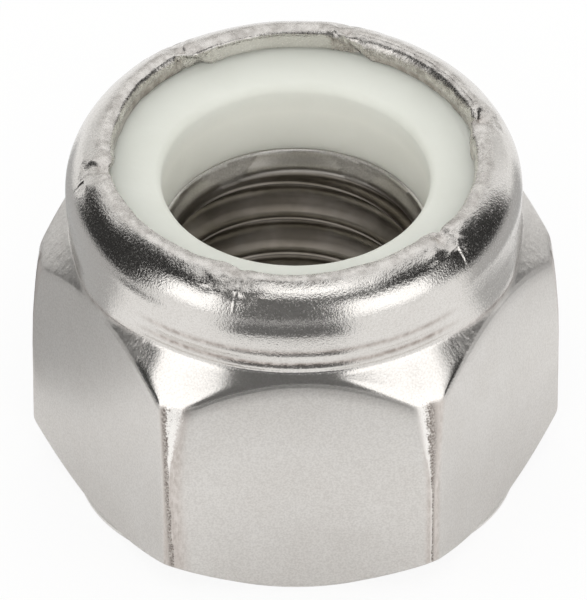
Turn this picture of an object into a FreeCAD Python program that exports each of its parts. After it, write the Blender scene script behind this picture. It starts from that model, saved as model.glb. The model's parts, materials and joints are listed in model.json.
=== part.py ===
import FreeCAD, Part
import math
import os

# Lock nut with a plastic locking ring, in millimetres. It stands on its
# bearing face: the origin is the centre of that face and +Z is the thread axis.
# Two flats face along Y, and two corners point along X.

# Bore, at the tapping size of an M5 thread
bore_radius = 2.1
mouth_chamfer = 0.52      # countersink in the bearing face
seat_height = 4.54        # the step that the ring sits on
seat_chamfer_width = 0.1
seat_chamfer_depth = 0.35

# Locking ring
ring_bore_step = 0.17     # the ring's bore is this much wider than the steel bore
ring_width = 1.035        # from its bore out to its rim
ring_clearance = 0.02     # left round the ring where a press would squeeze it tight
ring_dish = 0.16          # fall of the ring's top from the lip to its bore
ring_mouth_round = 0.35
ring_heel_round = 0.06

# Collar round the ring, with its lip curled in over it
height = 6.5
collar_wall = 0.54
collar_lean = 0.03        # the collar is this much slimmer at its foot
foot_fillet = 0.1
shoulder_radius = 0.92
lip_overhang = 0.24       # how far the lip reaches in past the recess wall
lip_round = 0.16
lip_end_face = 0.22
lip_underside_radius = 0.45

# Six dents where the jaws of the crimping tool met on the lip
dent_count = 6
dent_first_deg = 13.0
dent_radius = 0.2
dent_depth = 0.07

# Hexagon, 7.9 across flats
flat_count = 6
flat_setback = 0.085      # the flats stand this far outside the collar
flat_top = 4.685          # height of the top chamfer's edge in the middle of a flat
corner_loss = 0.07        # the formed corners stop this far short of sharp points
corner_taper = 0.14       # and draw in by this much more under the top chamfer
taper_start = 2.05        # height at which they start to draw in
bearing_inset = 0.15      # from a flat in to the rim of the bearing face
bottom_chamfer_deg = 40.0
top_chamfer_deg = 46.5

# Sizes that follow, from the bore outwards
mouth_radius = bore_radius + mouth_chamfer
ring_bore_radius = bore_radius + ring_bore_step
recess_radius = ring_bore_radius + ring_width + ring_clearance
lip_radius = recess_radius - lip_overhang
collar_radius = recess_radius + collar_wall
foot_radius = collar_radius - collar_lean
flat_radius = collar_radius + flat_setback
point_radius = flat_radius / math.cos(math.pi / flat_count)
corner_radius = point_radius - corner_loss
bearing_radius = flat_radius - bearing_inset
lip_edge = height - lip_round
lip_bottom = lip_edge - lip_end_face
underside_centre = recess_radius - lip_underside_radius
underside_height = lip_bottom - math.sqrt(
    lip_underside_radius ** 2 - (lip_radius - underside_centre) ** 2)


def at(radius, level):
    return FreeCAD.Vector(radius, 0, level)


def line(start, end):
    return Part.makeLine(start, end)


def arc(centre, radius, start, end):
    """The shorter arc round centre from start to end."""
    middle = (start + end) / 2 - centre
    return Part.Arc(start, centre + middle * (radius / middle.Length), end).toShape()


def revolve(edges):
    section = Part.Face(Part.Wire(edges))
    return section.revolve(FreeCAD.Vector(0, 0, 0), FreeCAD.Vector(0, 0, 1), 360)


def corner_between(before, corner, after, radius):
    """A round that replaces the corner, with the points where it starts and ends."""
    to_before = (before - corner).normalize()
    to_after = (after - corner).normalize()
    half = to_before.getAngle(to_after) / 2
    start = corner + to_before * (radius / math.tan(half))
    end = corner + to_after * (radius / math.tan(half))
    centre = corner + (to_before + to_after).normalize() * (radius / math.sin(half))
    return start, arc(centre, radius, start, end), end


def hexagon_outline():
    """Bearing face, bottom chamfer, corners that draw in, and top chamfer."""
    rim = at(bearing_radius, 0)
    rise = math.tan(math.radians(bottom_chamfer_deg))
    low_corner = at(corner_radius, (corner_radius - bearing_radius) * rise)
    taper_foot = at(corner_radius, taper_start)

    fall = math.tan(math.radians(top_chamfer_deg))
    taper_top_radius = corner_radius - corner_taper
    taper_top = at(taper_top_radius, flat_top - (taper_top_radius - flat_radius) * fall)
    run = taper_top.z - taper_start
    sweep = (corner_taper ** 2 + run ** 2) / (2 * corner_taper)
    taper = arc(at(corner_radius - sweep, taper_start), sweep, taper_foot, taper_top)

    foot = at(foot_radius, flat_top + (flat_radius - foot_radius) * fall)
    edges = [line(at(mouth_radius, 0), rim), line(rim, low_corner)]
    edges += [line(low_corner, taper_foot), taper]
    return edges, taper_top, foot


def collar_outline(taper_top, foot):
    """Collar wall, shoulder, rounded lip and the face that ends the lip."""
    round_centre = at(lip_radius + lip_round, lip_edge)
    across = round_centre.x - (collar_radius - shoulder_radius)
    drop = math.sqrt((shoulder_radius - lip_round) ** 2 - across ** 2)
    shoulder_centre = at(collar_radius - shoulder_radius, lip_edge - drop)
    wall_top = at(collar_radius, shoulder_centre.z)
    outward = (round_centre - shoulder_centre).normalize()
    meeting = shoulder_centre + outward * shoulder_radius

    fillet_start, fillet, fillet_end = corner_between(taper_top, foot, wall_top, foot_fillet)
    edges = [line(taper_top, fillet_start), fillet, line(fillet_end, wall_top)]
    edges.append(arc(shoulder_centre, shoulder_radius, wall_top, meeting))
    edges.append(arc(round_centre, lip_round, meeting, at(lip_radius, lip_edge)))
    edges.append(line(at(lip_radius, lip_edge), at(lip_radius, lip_bottom)))
    return edges


def lip_underside(gap):
    """Underside of the lip and the recess wall, moved in by gap, top to bottom."""
    centre = at(underside_centre, underside_height)
    radius = lip_underside_radius - gap
    reach = lip_radius - underside_centre
    top = at(lip_radius, underside_height + math.sqrt(radius ** 2 - reach ** 2))
    wall_top = at(recess_radius - gap, underside_height)
    seat_corner = at(recess_radius - gap, seat_height)
    return top, [arc(centre, radius, top, wall_top), line(wall_top, seat_corner)], seat_corner


def bore_outline(seat_corner):
    """Seat of the ring, the bore, and the countersink at the bearing face."""
    points = [
        seat_corner,
        at(bore_radius + seat_chamfer_width, seat_height),
        at(bore_radius, seat_height - seat_chamfer_depth),
        at(bore_radius, mouth_chamfer),
        at(mouth_radius, 0),
    ]
    return [line(start, end) for start, end in zip(points, points[1:])]


def hexagon_bar():
    points = []
    for corner in range(flat_count):
        turn = 2 * math.pi / flat_count * corner
        points.append(FreeCAD.Vector(math.cos(turn), math.sin(turn), 0) * point_radius)
    outline = Part.makePolygon(points + points[:1])
    return Part.Face(outline).extrude(FreeCAD.Vector(0, 0, height))


def crimp_dent(number):
    """A short round groove that runs outwards across the top of the lip."""
    turn = math.radians(dent_first_deg + 360 / dent_count * number)
    outward = FreeCAD.Vector(math.cos(turn), math.sin(turn), 0)
    start = outward * (lip_radius - lip_round)
    start.z = height - dent_depth + dent_radius
    return Part.makeCylinder(dent_radius, collar_wall + lip_overhang + lip_round, start, outward)


def nut_body():
    """Hexagon, collar and curled lip are one piece of stainless steel."""
    edges, taper_top, foot = hexagon_outline()
    edges += collar_outline(taper_top, foot)
    _, recess, seat_corner = lip_underside(0)
    turned = revolve(edges + recess + bore_outline(seat_corner))
    blank = turned.common(hexagon_bar())
    return blank.cut([crimp_dent(number) for number in range(dent_count)])


def nylon_insert():
    """Ring that the lip holds down on its seat, with a rounded mouth to its bore."""
    top, edges, heel = lip_underside(ring_clearance)
    mouth = at(ring_bore_radius, top.z - ring_dish)
    toe = at(ring_bore_radius, seat_height)
    toe_start, toe_round, toe_end = corner_between(heel, toe, mouth, ring_heel_round)
    mouth_start, mouth_round, mouth_end = corner_between(toe, mouth, top, ring_mouth_round)
    edges += [line(heel, toe_start), toe_round, line(toe_end, mouth_start)]
    edges += [mouth_round, line(mouth_end, top)]
    return revolve(edges)


os.makedirs("parts", exist_ok=True)
nut_body().exportStep("parts/nut_body.step")
nylon_insert().exportStep("parts/nylon_insert.step")
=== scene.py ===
import json
import math

import bmesh
import bpy
import numpy as np
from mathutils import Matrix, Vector, noise


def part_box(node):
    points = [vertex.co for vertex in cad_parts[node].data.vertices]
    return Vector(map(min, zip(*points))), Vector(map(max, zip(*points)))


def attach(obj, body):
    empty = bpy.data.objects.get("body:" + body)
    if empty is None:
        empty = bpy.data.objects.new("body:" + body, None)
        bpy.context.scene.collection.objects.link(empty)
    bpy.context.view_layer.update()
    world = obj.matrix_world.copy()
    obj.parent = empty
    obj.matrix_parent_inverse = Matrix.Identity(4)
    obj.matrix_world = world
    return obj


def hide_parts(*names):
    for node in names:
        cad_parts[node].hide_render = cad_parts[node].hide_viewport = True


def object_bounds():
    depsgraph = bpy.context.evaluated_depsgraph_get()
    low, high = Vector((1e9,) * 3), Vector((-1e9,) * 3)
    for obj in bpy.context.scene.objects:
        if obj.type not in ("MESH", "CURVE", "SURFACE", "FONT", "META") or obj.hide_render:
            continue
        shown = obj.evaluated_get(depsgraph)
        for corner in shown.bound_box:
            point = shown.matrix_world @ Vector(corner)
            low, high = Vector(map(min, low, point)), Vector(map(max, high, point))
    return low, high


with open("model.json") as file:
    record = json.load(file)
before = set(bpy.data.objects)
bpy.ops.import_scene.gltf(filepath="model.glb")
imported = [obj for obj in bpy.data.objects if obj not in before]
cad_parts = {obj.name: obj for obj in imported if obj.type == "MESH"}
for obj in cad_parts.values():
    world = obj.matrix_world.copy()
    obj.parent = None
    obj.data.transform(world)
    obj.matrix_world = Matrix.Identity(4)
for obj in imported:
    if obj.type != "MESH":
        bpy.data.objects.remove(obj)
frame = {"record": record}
cad_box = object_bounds()

# Steel body. Hexagon, collar and curled lip are one piece of stainless steel, cold
# formed from wire and tapped M5 right-hand. Six jaws rolled the lip in over the
# nylon ring, and each left a mark where it met the next.
mm = 0.001
mounts = {mount["name"]: mount["dims"] for mount in frame["record"]["mounts"]}
body_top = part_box("nut_body")[1]
ring_low, ring_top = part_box("nylon_insert")

bore_radius = mounts["thread"]["r_mm"] * mm
flat_radius = body_top.y
flat_turn = math.radians(60)
corner_radius = body_top.x
# How far each corner draws in under the top chamfer, from the one on +X round
corner_taper = np.array((0.14, 0.1, 0.1, 0.14, 0.06, 0.07)) * mm
taper_start = 2.05 * mm
bearing_inset = 0.15 * mm             # from a flat in to the rim of the bearing face
bearing_radius = flat_radius - bearing_inset
bottom_rise = math.tan(math.radians(40))
flat_top = 4.695 * mm
top_fall = math.tan(math.radians(51))
edge_round = 0.055 * mm
top_edge_round = 0.1 * mm
foot_round = 0.04 * mm

flat_setback = 0.085 * mm             # the flats stand this far outside the collar
collar_radius = flat_radius - flat_setback
collar_foot = 3.832 * mm
collar_lean = 0.033 * mm              # the collar is this much wider at its shoulder
# Two low rings that the rolling left round the collar: height over its foot, width, size
foot_rings = np.array(((0.11, 0.06, 0.015), (0.37, 0.07, 0.012))) * mm
# The collar's foot is pressed out to the flats, but for the one in front
foot_press = 0.1 * mm
press_height = 0.9 * mm               # and leans back in to the wall over this height
pressed_turns = (30, 90, 150, 210, 330)
collar_offset = -0.03 * mm            # the collar isn't quite true to the hexagon
shoulder_radius = 0.92 * mm
crown_radius = 3.26 * mm
lip_radius = 3.085 * mm
lip_bottom = 6.12 * mm
lip_dip = 0.03 * mm                   # the lip sinks this much from its crown to its inner edge
shoulder_height = 5.642 * mm
shoulder_sweep = math.radians(66.7)
ring_clearance = 0.02 * mm
recess_radius = ring_top.x + ring_clearance
seat_height = ring_low.z

countersink = 0.52 * mm
mouth_radius = bore_radius + countersink
band_height = 0.35 * mm               # plain band between the seat and the thread
nylon_bore = mounts["nylon_grip"]["r_mm"] * mm
band_flare = nylon_bore - bore_radius - 0.01 * mm     # the band ends just inside the nylon bore
pitch = 0.8 * mm
thread_depth = 0.4 * mm
crest_half = pitch / 14               # half the width of a crest's flat top
crest_round = 0.08 * mm
root_round = 0.13 * mm
runout_height = 0.45 * mm             # the thread fades out over this height under the band
crest_turn = math.radians(90)         # where a crest stands at crest_height
crest_height = 3.94 * mm

# In the order of their turn from +X: where the jaws met, in degrees
mark_turns = np.radians((16, 75, 127, 188, 253, 319))
mark_depths = np.array((0.07, 0.045, 0.04, 0.04, 0.03, 0.045)) * mm
mark_reach = np.array((0.07, 0.04, 0.075, 0.05, 0.035, 0.07)) * mm
nub_sizes = np.array((0.13, 0.1, 0.06, 0.05, 0.04, 0.08)) * mm     # a pit and a nub by each mark
# Lean of each formed corner to one side, in mm a degree, from the corner on +X round
corner_span = math.radians(6.8)
corner_skew = np.degrees(np.array((0.0, 0.006, -0.004, 0.0, -0.024, 0.006))) * mm


def soft_min(a, b, blend):
    """The smaller of a and b, with the edge where they meet rounded."""
    close = np.maximum(blend - np.abs(a - b), 0)
    return np.minimum(a, b) - close ** 2 / (4 * blend)


def soft_max(a, b, blend):
    return -soft_min(-a, -b, blend)


def ease(value):
    """From 0 to 1 in an S, and held there."""
    value = np.clip(value, 0, 1)
    return value * value * (3 - 2 * value)


def turns_round(plain_step, fine_zones):
    """Angles of the mesh's columns: even, with a finer zone round each place of detail."""
    fine = [centre + np.arange(-half, half + step / 2, step)
            for centres, half, step in fine_zones for centre in centres]
    plain = np.arange(0, 360, plain_step)
    for zone in fine:
        away = (plain - zone.mean() + 180) % 360 - 180
        plain = plain[np.abs(away) > zone[-1] - zone.mean() + plain_step / 3]
    turns = np.sort(np.concatenate([plain, *fine]) % 360)
    return np.radians(turns[np.diff(turns, prepend=turns[-1] - 360) > 0.1])


turns = turns_round(1.15, [(range(0, 360, 60), 6.8, 0.5), (np.degrees(mark_turns), 3.6, 0.36)])
nearest_corner = np.round(turns / flat_turn).astype(int) % 6
off_corner = (turns + flat_turn / 2) % flat_turn - flat_turn / 2
flats = flat_radius / np.cos(flat_turn / 2 - np.abs(off_corner))


def corner_cut(level):
    """How far out the formed corners reach: straight low down, drawn in under the chamfer."""
    taper = corner_taper[nearest_corner]
    run = flat_top - (corner_radius - taper - flat_radius) * top_fall - taper_start
    drawn_in = taper * np.clip((level - taper_start) / run, 0, 1.1) ** 2
    skew = corner_skew[nearest_corner] * (1 - 0.5 * ease(level / flat_top))
    return corner_radius - drawn_in + skew * np.clip(off_corner, -corner_span, corner_span)


def hexagon_side(level):
    return soft_min(flats, corner_cut(level), edge_round * 0.8)


def away_from(turn_degrees):
    """How many degrees each column lies from this turn."""
    return np.abs((np.degrees(turns) - turn_degrees + 180) % 360 - 180)


pressed = sum(ease(1 - away_from(turn) / 26) for turn in pressed_turns)
ring_share = 1 - 0.85 * ease((away_from(270) - 34) / 14)


def collar_at(level):
    above = level - foot_height
    wall = collar_foot + collar_lean * ease(above / (shoulder_height - foot_height))
    wall = wall + foot_press * pressed * (1 - ease((above + 0.1 * mm) / press_height))
    for centre, width, size in foot_rings:
        wall = wall + ring_share * size * np.exp(-((above - centre) / width) ** 2)
    return np.minimum(wall, flat_radius - 0.006 * mm)


def body_radius(level):
    """Radius of the hexagon with its chamfers, or of the collar where that is wider."""
    bottom = bearing_radius + level / bottom_rise
    top = flat_radius + (flat_top - level) / top_fall
    side = soft_min(soft_min(hexagon_side(level), bottom, edge_round), top, top_edge_round)
    return soft_max(side, collar_at(level) + 0 * side, foot_round)


def spread(start, end, count):
    """Levels from one array of levels to another, without the last."""
    return [start + (end - start) * step / count for step in range(count)]


foot_height = flat_top + (flat_radius - collar_foot) * top_fall
low_edge = (hexagon_side(0.5 * mm) - bearing_radius) * bottom_rise
high_edge = flat_top - (hexagon_side(4.25 * mm) - flat_radius) * top_fall
# Rows of the mesh, close together at the edges and over the rings at the collar's foot
near = 0.08 * mm
above_edge = np.minimum(high_edge + near, foot_height - near / 2)
foot_start, foot_end = foot_height - 0.06 * mm, foot_height + 0.52 * mm
levels = spread(0 * turns, low_edge - near, 4) + spread(low_edge - near, low_edge + near, 6)
levels += spread(low_edge + near, high_edge - near, 16)
levels += spread(high_edge - near, above_edge, 6) + spread(above_edge, foot_start, 6)
levels += spread(foot_start, foot_end, 22)

shoulder_centre = collar_radius - shoulder_radius
levels += spread(foot_end, shoulder_height, 5)
rows = [(body_radius(level), level) for level in levels]
hexagon_rows = len(rows)

for angle in np.linspace(0, shoulder_sweep, 30, endpoint=False):
    rows.append((shoulder_centre + shoulder_radius * math.cos(angle),
                 shoulder_height + shoulder_radius * math.sin(angle)))
crown_start = np.array(rows[-1])
crown_top = (crown_radius, body_top.z + 0.004 * mm)
# How far the lip's rounded edge falls to its end face, from the turn on +X round. The end
# face is high between the marks at 75 and 127 degrees, and low on both sides of them.
fall_turns = (0, 14, 20, 70, 79, 123, 131, 184, 192, 249, 257, 360)
falls = (0.2, 0.2, 0.27, 0.27, 0.06, 0.06, 0.19, 0.19, 0.1, 0.1, 0.2, 0.2)
lip_fall = np.interp(np.degrees(turns), fall_turns, falls) * mm
# At the right back the edge is rolled in further, so that less of the end face shows
rolled_in = np.interp(np.degrees(turns), (14, 20, 70, 79), (0, 1, 1, 0))
lip_round = 0.05 * mm + (0.3 + 0.12 * rolled_in) * (lip_fall - 0.05 * mm)
lip_edge = body_top.z - lip_dip - lip_fall
# A smooth curve over the crown, from the shoulder to the start of the lip's rounded edge
for part in np.linspace(0.12, 1, 8, endpoint=False):
    rows.append((crown_start[0] * (1 - part) ** 2 + 2 * crown_top[0] * part * (1 - part)
                 + (lip_radius + lip_round) * part ** 2,
                 crown_start[1] * (1 - part) ** 2 + 2 * crown_top[1] * part * (1 - part)
                 + (lip_edge + lip_fall) * part ** 2))
for angle in np.radians(np.linspace(90, 180, 6, endpoint=False)):
    rows.append((lip_radius + lip_round * (1 + math.cos(angle)), lip_edge + lip_fall * math.sin(angle)))
edge_row = len(rows)
for part in (0, 0.15, 0.35, 0.55, 0.75, 0.93):
    rows.append((lip_radius, lip_edge + (lip_bottom - lip_edge) * part))
rows.append((lip_radius + 0.02 * mm, lip_bottom))
end_row = len(rows)
# The underside of the lip, the recess and the ring's seat, all hidden by the ring
rows += [(lip_radius + 0.11 * mm, lip_bottom - 0.03 * mm), (recess_radius, lip_bottom - 0.4 * mm)]
rows += [(recess_radius, seat_height), (bore_radius + band_flare + 0.03 * mm, seat_height)]


def thread_radius(level, turn):
    """Right-hand thread: crests at the bore radius, 60 degree flanks, rounded roots."""
    from_crest = (level - crest_height - pitch * (turn - crest_turn) / (2 * math.pi)) / pitch
    from_crest = np.abs(from_crest - np.round(from_crest)) * pitch
    flank = (from_crest - crest_half) * math.tan(math.radians(60))
    groove = soft_min(soft_max(flank, 0 * flank, crest_round), thread_depth + 0 * flank, root_round)
    runout = ease((seat_height - band_height + 0.05 * mm - level) / runout_height)
    inside = bore_radius + groove * runout
    band = bore_radius + band_flare * ease((level - seat_height + band_height) / band_height)
    mouth = mouth_radius - level
    return soft_max(soft_max(inside, band, 0.02 * mm), mouth, 0.04 * mm)


# The bore's rows climb with the thread: after a full turn, each meets the row that starts
# one pitch higher
rows_a_pitch = 12
thread_top = np.full_like(turns, seat_height - 0.03 * mm)
thread_end = 0.1 * mm
climb = pitch * turns / (2 * math.pi)
thread_first = len(rows)
turns_needed = (thread_top[0] - thread_end) / pitch + 1
for step in range(math.ceil(turns_needed * rows_a_pitch) + 1):
    level = np.clip(thread_top - step * pitch / rows_a_pitch + climb, thread_end, thread_top)
    rows.append((thread_radius(level, turns), level))
thread_last = len(rows) - 1
rows += [(mouth_radius - 0.02 * mm, 0.02 * mm), (mouth_radius + 0.02 * mm, 0)]
rows += [((mouth_radius + bearing_radius) / 2, 0), (bearing_radius - 0.03 * mm, 0)]

radii = np.array([radius + 0 * turns for radius, _ in rows])
heights = np.array([level + 0 * turns for _, level in rows])


def place(radii, heights):
    """The rows as points, with the collar set a little off the hexagon's axis."""
    offset = collar_offset * ease((heights - foot_height) / (0.5 * mm))
    offset[end_row:] = 0
    return np.stack([radii * np.cos(turns) + offset, radii * np.sin(turns), heights], -1)


# What the six jaws left: from each mark the lip's edge stands back and comes slowly
# in again to the next, where it steps back, and folds and lumps lie beside the step
step_width = 0.15 * mm
step_slant = 1.1                      # the step runs this far along for each mm down the end face
# A groove by each mark and a lump on both sides of it: share of its depth, place, half width
mark_folds = ((1, 0.05, 0.14), (-0.45, -0.24, 0.12), (-0.2, 0.36, 0.16))


def mark_beside(turn):
    """The nearest mark of each place on the lip, and how far along the lip it lies from it."""
    from_mark = (turn[..., None] - mark_turns + math.pi) % (2 * math.pi) - math.pi
    nearest = np.abs(from_mark).argmin(-1)
    return nearest, np.take_along_axis(from_mark, nearest[..., None], -1)[..., 0] * lip_radius


def lip_reach(turn):
    """How far the lip's edge reaches in past its mean radius."""
    past = (turn[..., None] - mark_turns) % (2 * math.pi)
    behind = past.argmin(-1)
    ahead = (behind + 1) % len(mark_turns)
    gap = (mark_turns[ahead] - mark_turns[behind]) % (2 * math.pi)
    along = past.min(-1) / gap
    reach = mark_reach[ahead] * along ** 2 - 0.8 * mark_reach[behind] * (1 - along) ** 2
    nearest, beside = mark_beside(turn)
    softened = ease(0.5 + beside / (2 * step_width)) - (beside > 0)
    return reach - 1.8 * mark_reach[nearest] * softened


count = np.arange(len(rows))
lip_share = ease((count - hexagon_rows - 8) / (edge_row - hexagon_rows - 10))
lip_share[end_row + 1:] = 0
rounding_over = (count > hexagon_rows + 20)[:, None]
lowered = np.clip(body_top.z - heights, 0, body_top.z - lip_bottom) * rounding_over
slanted = turns + step_slant * lowered / lip_radius
circling = np.stack([np.cos(turns), np.sin(turns), 0 * turns], -1) * lip_radius


def swirl(points, size, octaves=2):
    """Smooth uneven numbers, about -1 to 1, that vary over this size."""
    flat = points.reshape(-1, 3) / size
    values = [noise.fractal(Vector(spot), 1.0, 2.0, octaves) for spot in flat]
    return np.array(values).reshape(points.shape[:-1])


radii -= lip_share[:, None] * (lip_reach(slanted) + 0.02 * mm * swirl(circling, 0.6 * mm, 4))
closest, beside = mark_beside(slanted)
groove = sum(share * mark_depths[closest] * np.exp(-((beside - at * mm) / (width * mm)) ** 2)
             for share, at, width in mark_folds)
from_edge = radii - radii[edge_row]
in_pit = np.exp(-((beside / mm + 0.12) / 0.12) ** 2 - ((from_edge / mm - 0.15) / 0.12) ** 2)
on_nub = np.exp(-((beside / mm - 0.14) / 0.1) ** 2 - ((from_edge / mm - 0.1) / 0.1) ** 2)
groove_share = ease((count - hexagon_rows - 13) / 16)
groove_share[end_row:] = 0
points = place(radii, heights)
along_row = np.roll(points, -1, 1) - np.roll(points, 1, 1)
up_row = np.gradient(points, axis=0)
normals = np.cross(along_row, up_row)
normals /= np.maximum(np.linalg.norm(normals, axis=-1, keepdims=True), 1e-12)

outside = np.ones(len(rows))
outside[end_row:] = 0
outside[0] = 0
formed_corner = ease((flats - corner_cut(heights)) / (0.05 * mm) + 0.5)
formed_corner *= (count < hexagon_rows)[:, None] * ease((heights - low_edge) / (0.1 * mm) + 0.5)
formed_corner *= ease((high_edge - heights) / (0.1 * mm) + 0.5)
# Slow waves over the body, torn corners, folds beside the marks, and a rough lip
uneven = 0.005 * mm * swirl(points, 1.1 * mm) * ease((heights - flat_top) / (0.4 * mm))
uneven += 0.005 * mm * formed_corner * swirl(points * (1, 1, 0.45), 0.11 * mm, 4)
worked = groove_share[:, None] * np.exp(-(beside / (0.42 * mm)) ** 2)
folds = 1 - 3.2 * np.abs(swirl(points, 0.26 * mm, 2))
uneven += 0.013 * mm * worked * folds
uneven += 0.004 * mm * lip_share[:, None] * swirl(points, 0.25 * mm, 3)
on_lip = rounding_over & (count < end_row)[:, None]
uneven += nub_sizes[closest] * (0.6 * on_nub - in_pit) * on_lip
points += normals * (outside[:, None] * (uneven - groove_share[:, None] * groove))[..., None]
points = np.clip(points, cad_box[0], cad_box[1])


def closed_grid(name, points, row_after_turn):
    """A mesh of rows closed both ways. Past the last column, each row goes on as row_after_turn."""
    row_count, column_count = points.shape[:2]
    index = np.arange(row_count * column_count).reshape(row_count, column_count)
    beyond = index[row_after_turn, 0][:, None]
    index = np.concatenate([index, beyond], 1)
    index = np.concatenate([index, index[:1]], 0)
    quads = np.stack([index[:-1, :-1], index[:-1, 1:], index[1:, 1:], index[1:, :-1]], -1)
    mesh = bpy.data.meshes.new(name)
    mesh.from_pydata(points.reshape(-1, 3).tolist(), [], quads.reshape(-1, 4).tolist())
    piece = bpy.data.objects.new(name, mesh)
    bpy.context.collection.objects.link(piece)
    return piece


row_after_turn = count.copy()
thread_rows = np.arange(thread_first, thread_last + 1)
row_after_turn[thread_rows] = np.maximum(thread_rows - rows_a_pitch, thread_first)
steel_body = closed_grid("steel_body", points, row_after_turn)

# Each formed corner has a ridge line. On one side of it lies a rough strip painted dark,
# a painted shade, on the other a smooth facet painted near white, a painted highlight, that
# comes down from the chamfer to a point. The value is 0 on the ridge, -1 at the far edge of
# the dark strip and 1 at that of the facet.
off_degrees = np.degrees(off_corner)
height_mm = heights / mm
odd_corner = nearest_corner % 2 == 1
ridge_line = np.where(odd_corner, -0.6 - 0.8 * ease((height_mm - 2) / 1.3), 1.9 - 0.62 * height_mm)
past_ridge = np.where(odd_corner, -1, 1) * (off_degrees - ridge_line)
dark_width = np.where(odd_corner, 0.6 + 1.6 * ease((height_mm - 2) / 1.5), 1.3)
facet_width = np.where(odd_corner, 0.25 + 3.3 * ease((height_mm - 2.4) / 1.9) ** 1.5,
                       0.05 + 3.6 * ease((height_mm - 2.5) / 1.8))
ridge = np.clip(past_ridge / np.where(past_ridge < 0, dark_width, facet_width), -4, 4)
facet_highlight_share = np.where(odd_corner, 0.4 + 0.6 * ease((height_mm - 2.4) / 0.8), ease((height_mm - 2.3) / 0.7))

# The lip is crimped, the grooves, pits and end face are painted darker, a painted shade, all
# above the chamfer's edge is rolled bright, the chamfers away from the front are rough, and the
# bore is cut and painted dark, also a painted shade
crimped = ease((count - hexagon_rows - 24) / 7) * (count < edge_row)
crimped = np.maximum(worked, crimped[:, None] + 0 * heights)
from_foot = (heights - foot_height) / mm
painted_groove_shade = np.exp(-((from_foot - 0.2) / 0.05) ** 2) + 0.8 * np.exp(-((from_foot - 0.47) / 0.05) ** 2)
painted_groove_shade *= np.maximum(ring_share - 0.2, 0) / 0.8 * (count < hexagon_rows)[:, None]
painted_groove_shade += 0.7 * pressed * np.exp(-((from_foot + 0.03) / 0.06) ** 2) * (count < hexagon_rows)[:, None]
end_face = ease((count - edge_row + 2) / 2)[:, None] * (count <= end_row)[:, None]
end_face = end_face * ease((lip_fall - 0.08 * mm) / (0.05 * mm))
painted_groove_shade += 0.85 * end_face
painted_groove_shade += 12 / mm * nub_sizes[closest] * in_pit * on_lip
rolled = ease((heights - high_edge) / (0.05 * mm) + 0.5) * (count < end_row)[:, None]
chamfer = ease((heights - high_edge) / (0.05 * mm) + 0.5) * ease((foot_height - heights) / (0.05 * mm))
rough_chamfer = chamfer * ease((away_from(270) - 38) / 8)
# Where the bore is cut, which is also where the material paints it dark, a painted shade
tapped_and_shaded = 0.45 * ease((seat_height - 0.02 * mm - heights) / (0.1 * mm))
tapped_and_shaded += 0.55 * ease((seat_height - 0.3 * mm - heights) / (0.15 * mm))
tapped_and_shaded *= (count >= end_row + 4)[:, None]
tapped_and_shaded *= ease(heights / (0.1 * mm))

# What each stretch of the surface went through, for the material to read
surface_shares = {
    "formed_corner": formed_corner, "facet_with_highlight": facet_highlight_share, "groove_and_end_shade": np.clip(painted_groove_shade, 0, 1),
    "corner_ridge": ridge, "crimped_lip": crimped, "chamfer": chamfer, "rough_chamfer": rough_chamfer,
    "rolled_bright": rolled, "tapped_and_shaded_bore": tapped_and_shaded}
for name, share in surface_shares.items():
    layer = steel_body.data.attributes.new(name, "FLOAT", "POINT")
    layer.data.foreach_set("value", share.reshape(-1))


def close_up(piece):
    """Joins points that fell together, and shades the piece smooth."""
    work = bmesh.new()
    work.from_mesh(piece.data)
    bmesh.ops.remove_doubles(work, verts=work.verts, dist=1e-8)
    bmesh.ops.recalc_face_normals(work, faces=work.faces)
    work.to_mesh(piece.data)
    work.free()
    piece.data.shade_smooth()


close_up(steel_body)


def linear(hex_code):
    """An sRGB hex colour as the linear RGBA that the shaders take."""
    parts = [int(hex_code[spot:spot + 2], 16) / 255 for spot in (1, 3, 5)]
    return (*[part / 12.92 if part <= 0.04045 else ((part + 0.055) / 1.055) ** 2.4 for part in parts], 1)


def add_node(owner, kind, sockets=None, stops=(), **settings):
    """A shader node with its settings, and a value or another node's output on each socket.

    A colour ramp gets its stops as pairs of a place and a colour."""
    made = owner.node_tree.nodes.new("ShaderNode" + kind)
    for name, value in settings.items():
        setattr(made, name, value)
    for number, (place, colour) in enumerate(stops):
        made.color_ramp.elements[number].position = place
        made.color_ramp.elements[number].color = linear(colour)
    for socket, value in (sockets or {}).items():
        if isinstance(value, bpy.types.NodeSocket):
            owner.node_tree.links.new(value, made.inputs[socket])
        else:
            made.inputs[socket].default_value = value
    return made


def new_material(name):
    material = bpy.data.materials.new(name)
    material.use_nodes = True
    material.node_tree.nodes.clear()
    return material


# Cold-formed stainless steel, tumbled bright: a clear grey metal whose fine grain
# breaks reflections into speckle, rougher and browner where the corners were squeezed.
# The real grain is about 0.01 mm wide. It is drawn at 0.036 mm, about two pixels, so that
# it shows. All widths are in mm.
grain_width = 0.036
torn_width = 0.15
blotch_width = 0.2
cloud_width = 0.9
streak_width = 0.0625
steel = new_material("cold_formed_stainless_steel")
steel_spot = add_node(steel, "TexCoord").outputs["Object"]
steel_mm = add_node(steel, "VectorMath", {0: steel_spot, 1: (1 / mm, 1 / mm, 1 / mm)},
                    operation="MULTIPLY").outputs[0]
along_corner = add_node(steel, "VectorMath", {0: steel_mm, 1: (1, 1, 0.35)},
                        operation="MULTIPLY").outputs[0]
fine_grain = add_node(steel, "TexNoise", {"Vector": steel_mm, "Scale": 1 / grain_width, "Detail": 2,
                                          "Roughness": 0.65}).outputs["Fac"]
coarse_grain = add_node(steel, "TexNoise", {"Vector": steel_mm, "Scale": 1 / torn_width, "Detail": 3,
                                            "Roughness": 0.6}).outputs["Fac"]
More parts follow.
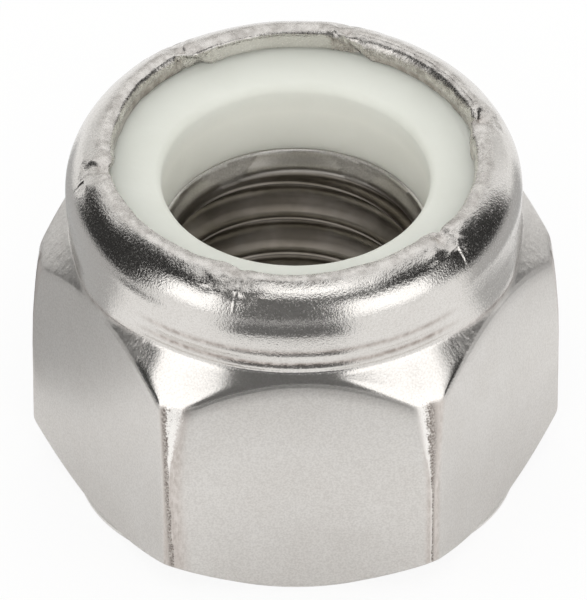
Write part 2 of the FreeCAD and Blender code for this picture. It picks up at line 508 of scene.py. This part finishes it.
blotch = add_node(steel, "TexNoise", {"Vector": steel_mm, "Scale": 1 / blotch_width, "Detail": 5,
                                      "Roughness": 0.65}).outputs["Fac"]
cloud = add_node(steel, "TexNoise", {"Vector": steel_mm, "Scale": 1 / cloud_width, "Detail": 3,
                                     "Roughness": 0.6}).outputs["Fac"]
streaks = add_node(steel, "TexNoise", {"Vector": along_corner, "Scale": 1 / streak_width, "Detail": 4,
                                       "Roughness": 0.7}).outputs["Fac"]
corner_share = add_node(steel, "Attribute", attribute_name="formed_corner").outputs["Fac"]
ridge_share = add_node(steel, "Attribute", attribute_name="corner_ridge").outputs["Fac"]
crimp_share = add_node(steel, "Attribute", attribute_name="crimped_lip").outputs["Fac"]
bore_and_shade_share = add_node(steel, "Attribute", attribute_name="tapped_and_shaded_bore").outputs["Fac"]
rolled_share = add_node(steel, "Attribute", attribute_name="rolled_bright").outputs["Fac"]
chamfer_share = add_node(steel, "Attribute", attribute_name="chamfer").outputs["Fac"]
torn_share = add_node(steel, "Attribute", attribute_name="rough_chamfer").outputs["Fac"]

# The strips beside each corner's ridge, with ragged edges
ridge_low = add_node(steel, "Math", {0: ridge_share, 1: 1.3}, operation="SUBTRACT").outputs[0]
ragged = add_node(steel, "Math", {0: streaks, 1: 1.2, 2: ridge_low}, operation="MULTIPLY_ADD").outputs[0]
ragged = add_node(steel, "Math", {0: fine_grain, 1: 1.4, 2: ragged}, operation="MULTIPLY_ADD").outputs[0]
in_strip = add_node(steel, "MapRange", {"Value": ragged, "From Min": -1.3, "From Max": -0.7}).outputs[0]
off_facet = add_node(steel, "MapRange", {"Value": ragged, "From Min": -0.2, "From Max": 0.2, "To Min": 1.0,
                                         "To Max": 0.0}).outputs[0]
strip = add_node(steel, "Math", {0: in_strip, 1: off_facet}, operation="MULTIPLY").outputs[0]
strip = add_node(steel, "Math", {0: strip, 1: corner_share}, operation="MULTIPLY").outputs[0]
on_facet = add_node(steel, "Math", {0: 1.0, 1: off_facet}, operation="SUBTRACT").outputs[0]
in_facet = add_node(steel, "MapRange", {"Value": ragged, "From Min": 0.75, "From Max": 1.25, "To Min": 1.0,
                                        "To Max": 0.0}).outputs[0]
facet = add_node(steel, "Math", {0: on_facet, 1: in_facet}, operation="MULTIPLY").outputs[0]
facet = add_node(steel, "Math", {0: facet, 1: corner_share}, operation="MULTIPLY").outputs[0]
facet_left = add_node(steel, "Attribute", attribute_name="facet_with_highlight").outputs["Fac"]
facet = add_node(steel, "Math", {0: facet, 1: facet_left}, operation="MULTIPLY").outputs[0]

grain_tone = add_node(steel, "ValToRGB", {"Fac": fine_grain}, stops=((0.36, "#CFCBC6"), (0.62, "#EAE7E3")))
cloud_tone = add_node(steel, "ValToRGB", {"Fac": cloud}, stops=((0.35, "#D6D2CD"), (0.68, "#DEDBD7")))
colour = add_node(steel, "Mix", {0: 0.5, 6: grain_tone.outputs[0], 7: cloud_tone.outputs[0]},
                  data_type="RGBA").outputs[2]
corner_tone = add_node(steel, "ValToRGB", {"Fac": streaks}, stops=((0.36, "#B5A89F"), (0.62, "#DCD3CD")))
tinted = add_node(steel, "Math", {0: corner_share, 1: 0.6}, operation="MULTIPLY").outputs[0]
colour = add_node(steel, "Mix", {0: tinted, 6: colour, 7: corner_tone.outputs[0]},
                  data_type="RGBA").outputs[2]
# Painted shade and painted highlight: the strip beside each ridge is painted dark, the facet on its other
# side near white
strip_shade_tone = add_node(steel, "ValToRGB", {"Fac": fine_grain}, stops=((0.38, "#857C76"), (0.64, "#CFC8C2")))
colour = add_node(steel, "Mix", {0: strip, 6: colour, 7: strip_shade_tone.outputs[0]},
                  data_type="RGBA").outputs[2]
colour = add_node(steel, "Mix", {0: facet, 6: colour, 7: linear("#FAF7F3")}, data_type="RGBA").outputs[2]
# Painted shade: the grooves at the collar's foot, the pits by the marks and the lip's end face are painted
# darker
groove_shade_share = add_node(steel, "Attribute", attribute_name="groove_and_end_shade").outputs["Fac"]
groove_shade_tone = add_node(steel, "ValToRGB", {"Fac": coarse_grain}, stops=((0.36, "#9C928B"), (0.62, "#CDC5BF")))
colour = add_node(steel, "Mix", {0: groove_shade_share, 6: colour, 7: groove_shade_tone.outputs[0]},
                  data_type="RGBA").outputs[2]
crimp_tone = add_node(steel, "ValToRGB", {"Fac": blotch}, stops=((0.36, "#A19B95"), (0.6, "#E6E2DD")))
crimped_part = add_node(steel, "Math", {0: crimp_share, 1: 0.6}, operation="MULTIPLY").outputs[0]
colour = add_node(steel, "Mix", {0: crimped_part, 6: colour, 7: crimp_tone.outputs[0]},
                  data_type="RGBA").outputs[2]
# Painted shade: the bore below the seat is painted dark
painted_bore_shade_tone = add_node(steel, "ValToRGB", {"Fac": cloud}, stops=((0.35, "#7F786E"), (0.65, "#9C958C")))
colour = add_node(steel, "Mix", {0: bore_and_shade_share, 6: colour, 7: painted_bore_shade_tone.outputs[0]},
                  data_type="RGBA").outputs[2]

# Satin on the flats and smooth where it was rolled, with duller grains in it
rough = add_node(steel, "MapRange", {"Value": rolled_share, "To Min": 0.34, "To Max": 0.13}).outputs[0]
dull_grains = add_node(steel, "MapRange", {"Value": fine_grain, "From Min": 0.5, "From Max": 0.68,
                                           "To Max": 0.16}).outputs[0]
dulled = add_node(steel, "Math", {0: chamfer_share, 1: -0.9, 2: rolled_share},
                  operation="MULTIPLY_ADD").outputs[0]
rough = add_node(steel, "Math", {0: dull_grains, 1: dulled, 2: rough}, operation="MULTIPLY_ADD").outputs[0]
rough = add_node(steel, "Math", {0: crimp_share, 1: 0.14, 2: rough}, operation="MULTIPLY_ADD").outputs[0]
rough = add_node(steel, "Math", {0: bore_and_shade_share, 1: 0.02, 2: rough}, operation="MULTIPLY_ADD").outputs[0]
rough = add_node(steel, "Math", {0: torn_share, 1: 0.26, 2: rough}, operation="MULTIPLY_ADD").outputs[0]
rough = add_node(steel, "Math", {0: strip, 1: 0.12, 2: rough}, operation="MULTIPLY_ADD").outputs[0]
rough = add_node(steel, "Math", {0: facet, 1: -0.12, 2: rough}, operation="MULTIPLY_ADD").outputs[0]

# The bore is cut, so it has no tumbled grain, and on the chamfers the grain is rolled flat
grain_left = add_node(steel, "MapRange", {"Value": rolled_share, "To Min": 0.5, "To Max": 1.0}).outputs[0]
grain_left = add_node(steel, "Math", {0: chamfer_share, 1: -0.8, 2: grain_left},
                      operation="MULTIPLY_ADD").outputs[0]
uncut = add_node(steel, "Math", {0: 1.0, 1: bore_and_shade_share}, operation="SUBTRACT").outputs[0]
grain_left = add_node(steel, "Math", {0: grain_left, 1: uncut}, operation="MULTIPLY").outputs[0]
grain_height = add_node(steel, "Math", {0: fine_grain, 1: grain_left}, operation="MULTIPLY").outputs[0]
grain_bump = add_node(steel, "Bump", {"Height": grain_height, "Strength": 0.4, "Distance": 0.01 * mm})
torn = add_node(steel, "Math", {0: crimp_share, 1: torn_share}, operation="MAXIMUM").outputs[0]
torn_height = add_node(steel, "Math", {0: coarse_grain, 1: torn}, operation="MULTIPLY").outputs[0]
torn_bump = add_node(steel, "Bump", {"Height": torn_height, "Strength": 0.5, "Distance": 0.03 * mm,
                                     "Normal": grain_bump.outputs[0]})
metal = add_node(steel, "BsdfPrincipled", {"Base Color": colour, "Metallic": 1.0, "Roughness": rough,
                                           "Normal": torn_bump.outputs[0]})
add_node(steel, "OutputMaterial", {"Surface": metal.outputs[0]})

steel_body.data.materials.append(steel)
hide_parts("nut_body")
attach(steel_body, "root")

# Locking ring. Natural nylon 66, moulded as a plain ring, pressed into the collar's
# recess and held on its seat by the curled lip.
nylon_radius = ring_top.x
nylon_rim = ring_top.z
nylon_dish = 0.16 * mm
mouth_round = 0.17 * mm
heel_round = 0.06 * mm
nylon_turns = np.linspace(0, 2 * math.pi, 240, endpoint=False)


def bend(before, corner, after, radius, steps):
    """Points round a rounded corner between two straight runs."""
    before, corner, after = (np.array(spot) for spot in (before, corner, after))
    back = (before - corner) / np.linalg.norm(before - corner)
    onward = (after - corner) / np.linalg.norm(after - corner)
    half = math.acos(np.clip(back @ onward, -1, 1)) / 2
    centre = corner + (back + onward) / np.linalg.norm(back + onward) * radius / math.sin(half)
    start, end = corner + back * radius / math.tan(half), corner + onward * radius / math.tan(half)
    spots = []
    for part in np.linspace(0, 1, steps):
        away = start + (end - start) * part - centre
        spots.append(centre + away / np.linalg.norm(away) * radius)
    return spots


heel = (nylon_radius, ring_low.z)
toe = (nylon_bore, ring_low.z)
lip_corner = (nylon_bore, nylon_rim - nylon_dish)
crown = (lip_radius, nylon_rim)
# Under the lip the ring follows its curl, down to the recess wall
shoulder = [(lip_radius + 0.1 * mm, nylon_rim), (lip_radius + 0.16 * mm, nylon_rim - 0.06 * mm),
            (nylon_radius - 0.03 * mm, nylon_rim - 0.28 * mm), (nylon_radius, lip_bottom - 0.42 * mm)]
section = [heel, (nylon_bore + 0.5 * mm, ring_low.z)]
section += bend(heel, toe, lip_corner, heel_round, 5)
section += [(nylon_bore, ring_low.z + 0.3 * mm + 0.12 * mm * step) for step in range(6)]
section += bend(toe, lip_corner, crown, mouth_round, 14)
section += [(nylon_bore + (lip_radius - nylon_bore) * part,
             nylon_rim - nylon_dish * (1 - part)) for part in (0.55, 0.7, 0.85, 1.0)]
section += shoulder
section = np.array(section)
circle = np.stack([np.cos(nylon_turns), np.sin(nylon_turns)], -1)
ring_points = np.concatenate([section[:, None, :1] * circle, section[:, None, 1:] + 0 * circle[:, :1]], -1)
sunk = 0.012 * mm * swirl(ring_points, 1.3 * mm)
free = ease((section[:, 1] - ring_low.z) / (0.6 * mm)) * (section[:, 0] < lip_radius + 0.01 * mm)
ring_points[..., 2] -= free[:, None] * np.abs(sunk)
nylon_ring = closed_grid("nylon_ring", ring_points, np.arange(len(section)))
close_up(nylon_ring)

# Natural nylon: milky white with a green-grey cast, light passes a little way into it,
# and its moulded skin is smooth with a soft, broad shine. Widths are in mm.
flow_width = 1.25
skin_width = 0.125
nylon = new_material("natural_nylon_moulded")
nylon_spot = add_node(nylon, "TexCoord").outputs["Object"]
nylon_mm = add_node(nylon, "VectorMath", {0: nylon_spot, 1: (1 / mm, 1 / mm, 1 / mm)},
                    operation="MULTIPLY").outputs[0]
flow = add_node(nylon, "TexNoise", {"Vector": nylon_mm, "Scale": 1 / flow_width, "Detail": 3}).outputs["Fac"]
# Painted light: whiter in the bore and greyer on the top, so that the dim bore and the well lit top come out
# alike
level_mm = add_node(nylon, "SeparateXYZ", {0: nylon_mm}).outputs["Z"]
top_painted_grey = add_node(nylon, "MapRange", {"Value": level_mm, "From Min": 5.4, "From Max": 6.05}).outputs[0]
milk = add_node(nylon, "Mix", {0: top_painted_grey, 6: linear("#FCFCF3"), 7: linear("#D9DBD3")}, data_type="RGBA")
cloudy = add_node(nylon, "ValToRGB", {"Fac": flow}, stops=((0, "#F2F2F0"), (1, "#FFFFFF")))
milk = add_node(nylon, "Mix", {0: 1.0, 6: milk.outputs[2], 7: cloudy.outputs["Color"]}, data_type="RGBA",
                blend_type="MULTIPLY")
skin = add_node(nylon, "TexNoise", {"Vector": nylon_mm, "Scale": 1 / skin_width, "Detail": 2}).outputs["Fac"]
skin_bump = add_node(nylon, "Bump", {"Height": skin, "Strength": 0.12, "Distance": 0.02 * mm})
polymer = add_node(nylon, "BsdfPrincipled", {
    "Base Color": milk.outputs[2], "Roughness": 0.5, "IOR": 1.53, "Normal": skin_bump.outputs[0],
    "Subsurface Weight": 1.0, "Subsurface Radius": (1.0, 1.0, 1.0), "Subsurface Scale": 0.7 * mm},
    subsurface_method="BURLEY")
add_node(nylon, "OutputMaterial", {"Surface": polymer.outputs[0]})
nylon_ring.data.materials.append(nylon)
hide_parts("nylon_insert")
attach(nylon_ring, "root")

# Studio. A pale table under a white tent, softboxes in front and overhead, and dark and
# pale cloths that only the polished steel mirrors, which gives it its bands. Grey sheets on
# the table, also mirrored alone, are a painted shadow of the nut round its foot.
table_half = 0.6
table_level = -0.01 * mm              # a hair under the bearing face, so that the two don't merge
flag_lift = 0.05 * mm


def flat_piece(name, corners, material):
    mesh = bpy.data.meshes.new(name)
    mesh.from_pydata(corners, [], [range(len(corners))])
    mesh.materials.append(material)
    piece = bpy.data.objects.new(name, mesh)
    bpy.context.collection.objects.link(piece)
    return piece


def seen_or_mirrored(owner):
    """1 for rays from the camera and for those mirrored or passed on, 0 for the rest."""
    path = add_node(owner, "LightPath").outputs
    two = add_node(owner, "Math", {0: path["Is Camera Ray"], 1: path["Is Glossy Ray"]}, operation="MAXIMUM")
    return add_node(owner, "Math", {0: two.outputs[0], 1: path["Is Transmission Ray"]},
                    operation="MAXIMUM").outputs[0]


# Matt white paper that keeps the nut's soft shadow. Plain white is laid over it for the
# camera and in the steel, so that it shows as pale as the photograph's floor.
paper = new_material("white_table_paper")
table_white = add_node(paper, "BsdfDiffuse", {"Color": linear("#F4F4F2")})
backdrop_white = add_node(paper, "Emission", {"Color": (1, 1, 1, 1), "Strength": 1.0})
lift = add_node(paper, "Math", {0: seen_or_mirrored(paper), 1: 0.88}, operation="MULTIPLY").outputs[0]
paper_mix = add_node(paper, "MixShader", {0: lift, 1: table_white.outputs[0], 2: backdrop_white.outputs[0]})
add_node(paper, "OutputMaterial", {"Surface": paper_mix.outputs[0]})
table_corners = ((-1, -1), (1, -1), (1, 1), (-1, 1))
flat_piece("table", [(x * table_half, y * table_half, table_level) for x, y in table_corners], paper)

world = bpy.data.worlds.new("white_tent")
bpy.context.scene.world = world
world.use_nodes = True
world.node_tree.nodes.clear()
tent = add_node(world, "Background", {"Color": (1, 1, 1, 1), "Strength": 1.0})
add_node(world, "OutputWorld", {"Surface": tent.outputs[0]})


def steel_only(piece):
    """Lets a card show in the steel alone, so that it takes no light from the rest."""
    piece.visible_diffuse = False
    piece.visible_shadow = False
    piece.visible_transmission = False


def table_flag(name, turns, near, far, material):
    """A cloth, or a sheet of painted shadow, on the table, between two turns from +X and two distances."""
    around = np.radians(np.linspace(*turns, 37))
    spots = [(far * math.cos(t), far * math.sin(t), flag_lift) for t in around]
    spots += [(near * math.cos(t), near * math.sin(t), flag_lift) for t in around[::-1]]
    piece = flat_piece(name, spots, material)
    piece.visible_camera = False
    steel_only(piece)


def card(name, turns, heights, distance, material):
    """A curved card round the nut, between two turns from +X and two heights, in degrees."""
    wide, high = 17, 9
    across = np.radians(np.linspace(*turns, wide))
    up = np.radians(np.linspace(*heights, high))
    spots = [(distance * math.cos(e) * math.cos(t), distance * math.cos(e) * math.sin(t),
              distance * math.sin(e)) for e in up for t in across]
    quads = [(r * wide + c, r * wide + c + 1, (r + 1) * wide + c + 1, (r + 1) * wide + c)
             for r in range(high - 1) for c in range(wide - 1)]
    mesh = bpy.data.meshes.new(name)
    mesh.from_pydata(spots, [], quads)
    mesh.materials.append(material)
    piece = bpy.data.objects.new(name, mesh)
    bpy.context.collection.objects.link(piece)
    piece.visible_camera = False
    return piece


def shine(name, strength):
    """A card that glows with this strength."""
    glow = new_material(name)
    light = add_node(glow, "Emission", {"Color": (1, 1, 1, 1), "Strength": strength})
    add_node(glow, "OutputMaterial", {"Surface": light.outputs[0]})
    return glow


def cloth(name, hex_code):
    """A matt cloth of this colour, or a sheet of painted shadow."""
    dyed = new_material(name)
    weave = add_node(dyed, "BsdfDiffuse", {"Color": linear(hex_code)})
    add_node(dyed, "OutputMaterial", {"Surface": weave.outputs[0]})
    return dyed


softbox = shine("softbox_cloth", 1.55)
overhead = shine("overhead_cloth", 1.65)
fill_cloth = shine("fill_cloth", 1.95)
black = cloth("black_flag_cloth", "#383838")
grey = cloth("grey_flag_cloth", "#6C6C6C")
pale_grey = cloth("pale_grey_cloth", "#DEDEDE")
contact_shadow = cloth("painted_contact_shadow", "#F0F0F0")
shade = cloth("painted_table_shadow", "#B4B4B4")

steel_only(card("wall_back", (45, 146), (0, 40), 0.47, pale_grey))
# Painted shadow: the grey sheets named table_shade stand in, in the steel, for the nut's soft shadow on the
# table round its foot
table_flag("table_shade_near", (0, 360), 0.0038, 0.006, contact_shadow)
table_flag("table_shade_far", (125, 188), 0.006, 0.025, shade)
table_flag("table_shade_left", (188, 207), 0.0125, 0.019, grey)
table_flag("table_shade_right", (-12, 45), 0.009, 0.034, shade)
table_flag("table_far", (192, 350), 0.06, 0.46, pale_grey)

card("softbox_left", (204, 234), (1, 34), 0.45, softbox)
card("softbox_right", (292, 322), (1, 34), 0.45, softbox)
card("softbox_right_end", (322, 335), (1, 31), 0.45, softbox)
card("softbox_over", (243, 316), (56, 71), 0.45, overhead)
# A front fill that reaches down into the nylon ring, and that the polished steel doesn't mirror
front_fill = card("softbox_fill", (237, 303), (24, 52), 0.49, fill_cloth)
front_fill.visible_glossy = False
steel_only(card("flag_front", (237, 291), (0, 53), 0.47, grey))
steel_only(card("flag_left", (143, 160), (0, 30), 0.46, black))
steel_only(card("flag_left_front", (160, 203), (0, 50), 0.46, black))
steel_only(card("flag_right", (-20, 32), (0, 34), 0.46, black))
steel_only(card("flag_right_over", (-26, 18), (34, 50), 0.46, black))
steel_only(card("flag_ceiling", (160, 246), (36, 58), 0.48, black))
steel_only(card("flag_ceiling_right", (290, 340), (36, 52), 0.48, grey))
steel_only(card("flag_ceiling_corner", (322, 352), (33, 56), 0.47, black))
steel_only(card("flag_top", (185, 310), (70, 89), 0.44, black))
table_flag("table_flag_front", (240, 290), 0.0105, 0.47, grey)
table_flag("table_flag_left", (148, 200), 0.025, 0.46, black)
table_flag("table_flag_right", (-12, 30), 0.034, 0.46, black)

# Camera, at the photograph's angle and so far off that the view is nearly parallel. Its
# turn, height, distance and lens were fitted to the nut's edges in the photograph.
view_turn = math.radians(1.32)
view_height = math.radians(41.35)
view_distance = 0.2212
mid_height = 2.765 * mm
aim_left, aim_up = 0.037 * mm, 0.259 * mm
long_side_px = 600
lens_px = 12983.5
sensor = 36

out = Vector((-math.sin(view_turn) * math.cos(view_height), -math.cos(view_turn) * math.cos(view_height),
              math.sin(view_height)))
right = Vector((math.cos(view_turn), -math.sin(view_turn), 0))
upward = out.cross(right)
target = Vector((0, 0, mid_height)) - aim_left * right + aim_up * upward
lens = bpy.data.cameras.new("camera")
lens.sensor_width = sensor
lens.lens = lens_px / long_side_px * sensor
lens.clip_start, lens.clip_end = 0.01, 5
camera = bpy.data.objects.new("camera", lens)
bpy.context.collection.objects.link(camera)
camera.location = target + out * view_distance
camera.rotation_mode = "QUATERNION"
camera.rotation_quaternion = out.to_track_quat("Z", "Y")
bpy.context.scene.camera = camera
bpy.context.scene.view_settings.view_transform = "Standard"
